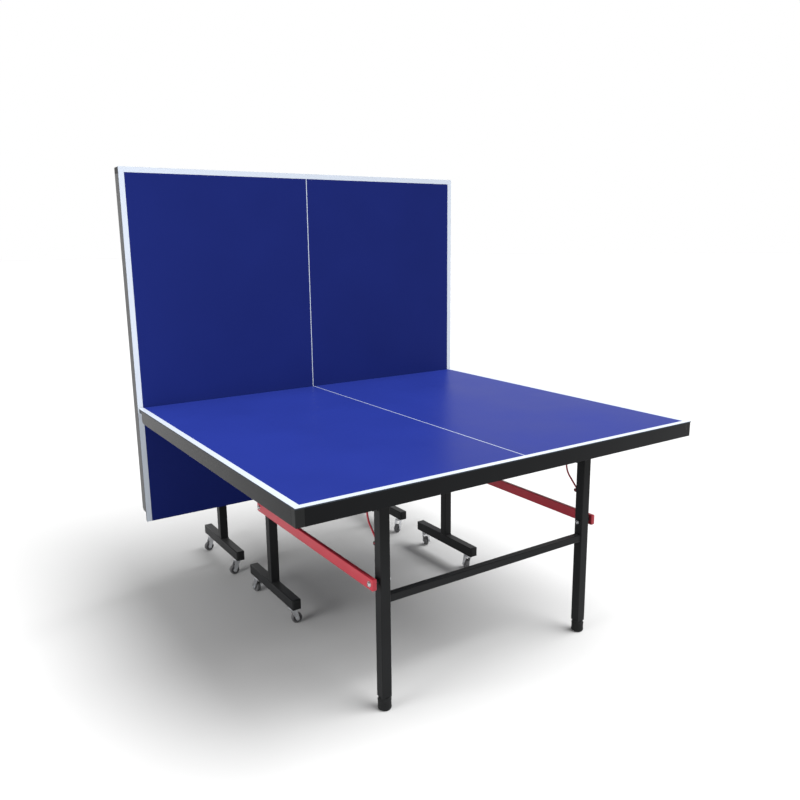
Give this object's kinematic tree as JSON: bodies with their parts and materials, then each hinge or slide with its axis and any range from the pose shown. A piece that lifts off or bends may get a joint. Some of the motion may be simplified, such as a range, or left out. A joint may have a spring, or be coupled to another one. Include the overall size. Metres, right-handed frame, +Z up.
{
  "type": "table tennis table",
  "caption": "Playback table tennis table: one half open on legs, the other folded upright; both on castered trolleys with fold linkages.",
  "frame": {"origin": "centre of the footprint on the floor, halfway between the near end line and the back of the far trolley", "axes": "+X across the table to the right of someone at the near end, +Y from the near end towards the folded half, +Z up"},
  "size_m": [1.525, 1.685, 1.662],
  "materials": {
    "playfield": "painted chipboard, semi-gloss blue",
    "lines": "white line coat",
    "edge_rail": "satin charcoal powder coat",
    "black_frame": "satin black powder coat",
    "red_bar": "semi-gloss red powder coat",
    "zinc": "bright zinc plate",
    "black_plastic": "moulded black plastic",
    "wheel": "dark grey moulded tread"
  },
  "bodies": {
    "near_top": {"near_board": "playfield", "near_lines": "lines", "near_aprons": "edge_rail", "near_top_frame": "black_frame", "near_corner_guards": "black_plastic", "near_brackets": "black_frame", "near_pivot_bolts": "zinc"},
    "near_trolley": {"near_t_frame_left": "black_frame", "near_t_frame_right": "black_frame", "near_cross_tube": "black_frame", "near_bar_caps": "black_plastic"},
    "near_legs": {"near_leg_left": "black_frame", "near_leg_right": "black_frame", "near_leg_crossbar": "black_frame"},
    "near_links": {"near_link_left": "red_bar", "near_link_right": "red_bar", "near_link_bolts": "zinc"},
    "near_foot_left_body": {"near_foot_left": "black_plastic"},
    "near_lock_left_body": {"near_lock_left": "red_bar"},
    "near_foot_right_body": {"near_foot_right": "black_plastic"},
    "near_lock_right_body": {"near_lock_right": "red_bar"},
    "far_top": {"far_board": "playfield", "far_lines": "lines", "far_aprons": "edge_rail", "far_top_frame": "black_frame", "far_corner_guards": "black_plastic", "far_brackets": "black_frame", "far_pivot_bolts": "zinc"},
    "far_trolley": {"far_t_frame_left": "black_frame", "far_t_frame_right": "black_frame", "far_cross_tube": "black_frame", "far_bar_caps": "black_plastic"},
    "far_legs": {"far_leg_left": "black_frame", "far_leg_right": "black_frame", "far_leg_crossbar": "black_frame"},
    "far_links": {"far_link_left": "red_bar", "far_link_right": "red_bar", "far_link_bolts": "zinc"},
    "far_foot_left_body": {"far_foot_left": "black_plastic"},
    "far_lock_left_body": {"far_lock_left": "red_bar"},
    "far_foot_right_body": {"far_foot_right": "black_plastic"},
    "far_lock_right_body": {"far_lock_right": "red_bar"},
    "near_left_outer_swivel": {"near_left_outer_fork": "zinc"},
    "near_left_outer_roller": {"near_left_outer_wheel": "wheel"},
    "near_left_inner_swivel": {"near_left_inner_fork": "zinc"},
    "near_left_inner_roller": {"near_left_inner_wheel": "wheel"},
    "near_right_outer_swivel": {"near_right_outer_fork": "zinc"},
    "near_right_outer_roller": {"near_right_outer_wheel": "wheel"},
    "near_right_inner_swivel": {"near_right_inner_fork": "zinc"},
    "near_right_inner_roller": {"near_right_inner_wheel": "wheel"},
    "far_left_outer_swivel": {"far_left_outer_fork": "zinc"},
    "far_left_outer_roller": {"far_left_outer_wheel": "wheel"},
    "far_left_inner_swivel": {"far_left_inner_fork": "zinc"},
    "far_left_inner_roller": {"far_left_inner_wheel": "wheel"},
    "far_right_outer_swivel": {"far_right_outer_fork": "zinc"},
    "far_right_outer_roller": {"far_right_outer_wheel": "wheel"},
    "far_right_inner_swivel": {"far_right_inner_fork": "zinc"},
    "far_right_inner_roller": {"far_right_inner_wheel": "wheel"}
  },
  "joints": [
    {"name": "near_fold", "type": "hinge", "parent": "near_trolley", "child": "near_top", "pos_m": [0, 0.1375, 0.682], "axis": [-1, 0, 0], "range_deg": [0, 90]},
    {"name": "near_leg_fold", "type": "hinge", "parent": "near_top", "child": "near_legs", "pos_m": [0, -0.6505, 0.682], "axis": [-1, 0, 0], "range_deg": [-90, 0]},
    {"name": "near_link_turn", "type": "hinge", "parent": "near_trolley", "child": "near_links", "pos_m": [0, 0.1105, 0.417], "axis": [-1, 0, 0], "range_deg": [0, 90]},
    {"name": "near_foot_left_turn", "type": "hinge", "parent": "near_legs", "child": "near_foot_left_body", "pos_m": [-0.414, -0.6775, 0], "axis": [0, 0, 1], "continuous": true},
    {"name": "near_lock_left_press", "type": "hinge", "parent": "near_legs", "child": "near_lock_left_body", "pos_m": [-0.414, -0.6525, 0.526], "axis": [1, 0, 0], "range_deg": [0, 8], "stiffness_Nm_per_rad": 0.5},
    {"name": "near_foot_right_turn", "type": "hinge", "parent": "near_legs", "child": "near_foot_right_body", "pos_m": [0.414, -0.6775, 0], "axis": [0, 0, 1], "continuous": true},
    {"name": "near_lock_right_press", "type": "hinge", "parent": "near_legs", "child": "near_lock_right_body", "pos_m": [0.414, -0.6525, 0.526], "axis": [1, 0, 0], "range_deg": [0, 8], "stiffness_Nm_per_rad": 0.5},
    {"name": "far_fold", "type": "hinge", "parent": "far_trolley", "child": "far_top", "pos_m": [0, 0.6155, 0.682], "axis": [-1, 0, 0], "range_deg": [0, 90]},
    {"name": "far_leg_fold", "type": "hinge", "parent": "far_top", "child": "far_legs", "pos_m": [0, 0.6155, 1.47], "axis": [-1, 0, 0], "range_deg": [-90, 0]},
    {"name": "far_link_turn", "type": "hinge", "parent": "far_trolley", "child": "far_links", "pos_m": [0, 0.6425, 0.417], "axis": [-1, 0, 0], "range_deg": [0, 90]},
    {"name": "far_foot_left_turn", "type": "hinge", "parent": "far_legs", "child": "far_foot_left_body", "pos_m": [-0.414, 0.6425, 0.788], "axis": [0, 0, 1], "continuous": true},
    {"name": "far_lock_left_press", "type": "hinge", "parent": "far_legs", "child": "far_lock_left_body", "pos_m": [-0.414, 0.6175, 1.314], "axis": [-1, 0, 0], "range_deg": [0, 8], "stiffness_Nm_per_rad": 0.5},
    {"name": "far_foot_right_turn", "type": "hinge", "parent": "far_legs", "child": "far_foot_right_body", "pos_m": [0.414, 0.6425, 0.788], "axis": [0, 0, 1], "continuous": true},
    {"name": "far_lock_right_press", "type": "hinge", "parent": "far_legs", "child": "far_lock_right_body", "pos_m": [0.414, 0.6175, 1.314], "axis": [-1, 0, 0], "range_deg": [0, 8], "stiffness_Nm_per_rad": 0.5},
    {"name": "far_roll", "type": "slide", "parent": "near_trolley", "child": "far_trolley", "axis": [0, 1, 0], "range_m": [0, 0.3221]},
    {"name": "near_left_outer_turn", "type": "hinge", "parent": "near_trolley", "child": "near_left_outer_swivel", "pos_m": [-0.414, -0.0445, 0.066], "axis": [0, 0, 1], "continuous": true},
    {"name": "near_left_outer_spin", "type": "hinge", "parent": "near_left_outer_swivel", "child": "near_left_outer_roller", "pos_m": [-0.39806, -0.04589, 0.02], "axis": [0.0872, 0.9962, 0], "continuous": true},
    {"name": "near_left_inner_turn", "type": "hinge", "parent": "near_trolley", "child": "near_left_inner_swivel", "pos_m": [-0.414, 0.2655, 0.066], "axis": [0, 0, 1], "continuous": true},
    {"name": "near_left_inner_spin", "type": "hinge", "parent": "near_left_inner_swivel", "child": "near_left_inner_roller", "pos_m": [-0.41678, 0.28126, 0.02], "axis": [-0.9848, -0.1736, 0], "continuous": true},
    {"name": "near_right_outer_turn", "type": "hinge", "parent": "near_trolley", "child": "near_right_outer_swivel", "pos_m": [0.414, -0.0445, 0.066], "axis": [0, 0, 1], "continuous": true},
    {"name": "near_right_outer_spin", "type": "hinge", "parent": "near_right_outer_swivel", "child": "near_right_outer_roller", "pos_m": [0.41814, -0.02905, 0.02], "axis": [-0.9659, 0.2588, 0], "continuous": true},
    {"name": "near_right_inner_turn", "type": "hinge", "parent": "near_trolley", "child": "near_right_inner_swivel", "pos_m": [0.414, 0.2655, 0.066], "axis": [0, 0, 1], "continuous": true},
    {"name": "near_right_inner_spin", "type": "hinge", "parent": "near_right_inner_swivel", "child": "near_right_inner_roller", "pos_m": [0.42626, 0.27579, 0.02], "axis": [-0.6428, 0.766, 0], "continuous": true},
    {"name": "far_left_outer_turn", "type": "hinge", "parent": "far_trolley", "child": "far_left_outer_swivel", "pos_m": [-0.414, 0.7975, 0.066], "axis": [0, 0, 1], "continuous": true},
    {"name": "far_left_outer_spin", "type": "hinge", "parent": "far_left_outer_swivel", "child": "far_left_outer_roller", "pos_m": [-0.42994, 0.79611, 0.02], "axis": [0.0872, -0.9962, 0], "continuous": true},
    {"name": "far_left_inner_turn", "type": "hinge", "parent": "far_trolley", "child": "far_left_inner_swivel", "pos_m": [-0.414, 0.4875, 0.066], "axis": [0, 0, 1], "continuous": true},
    {"name": "far_left_inner_spin", "type": "hinge", "parent": "far_left_inner_swivel", "child": "far_left_inner_roller", "pos_m": [-0.43, 0.4875, 0.02], "axis": [0, -1, 0], "continuous": true},
    {"name": "far_right_outer_turn", "type": "hinge", "parent": "far_trolley", "child": "far_right_outer_swivel", "pos_m": [0.414, 0.7975, 0.066], "axis": [0, 0, 1], "continuous": true},
    {"name": "far_right_outer_spin", "type": "hinge", "parent": "far_right_outer_swivel", "child": "far_right_outer_roller", "pos_m": [0.42248, 0.81107, 0.02], "axis": [-0.848, 0.5299, 0], "continuous": true},
    {"name": "far_right_inner_turn", "type": "hinge", "parent": "far_trolley", "child": "far_right_inner_swivel", "pos_m": [0.414, 0.4875, 0.066], "axis": [0, 0, 1], "continuous": true},
    {"name": "far_right_inner_spin", "type": "hinge", "parent": "far_right_inner_swivel", "child": "far_right_inner_roller", "pos_m": [0.39974, 0.48024, 0.02], "axis": [0.454, -0.891, 0], "continuous": true}
  ],
  "couplings": [
    {"joint": "near_leg_fold", "follows": "near_fold", "ratio": -1},
    {"joint": "near_link_turn", "follows": "near_fold", "ratio": 1},
    {"joint": "far_leg_fold", "follows": "far_fold", "ratio": -1},
    {"joint": "far_link_turn", "follows": "far_fold", "ratio": 1},
    {"joint": "far_roll", "follows": "far_fold", "m_per_rad": 0.205}
  ]
}
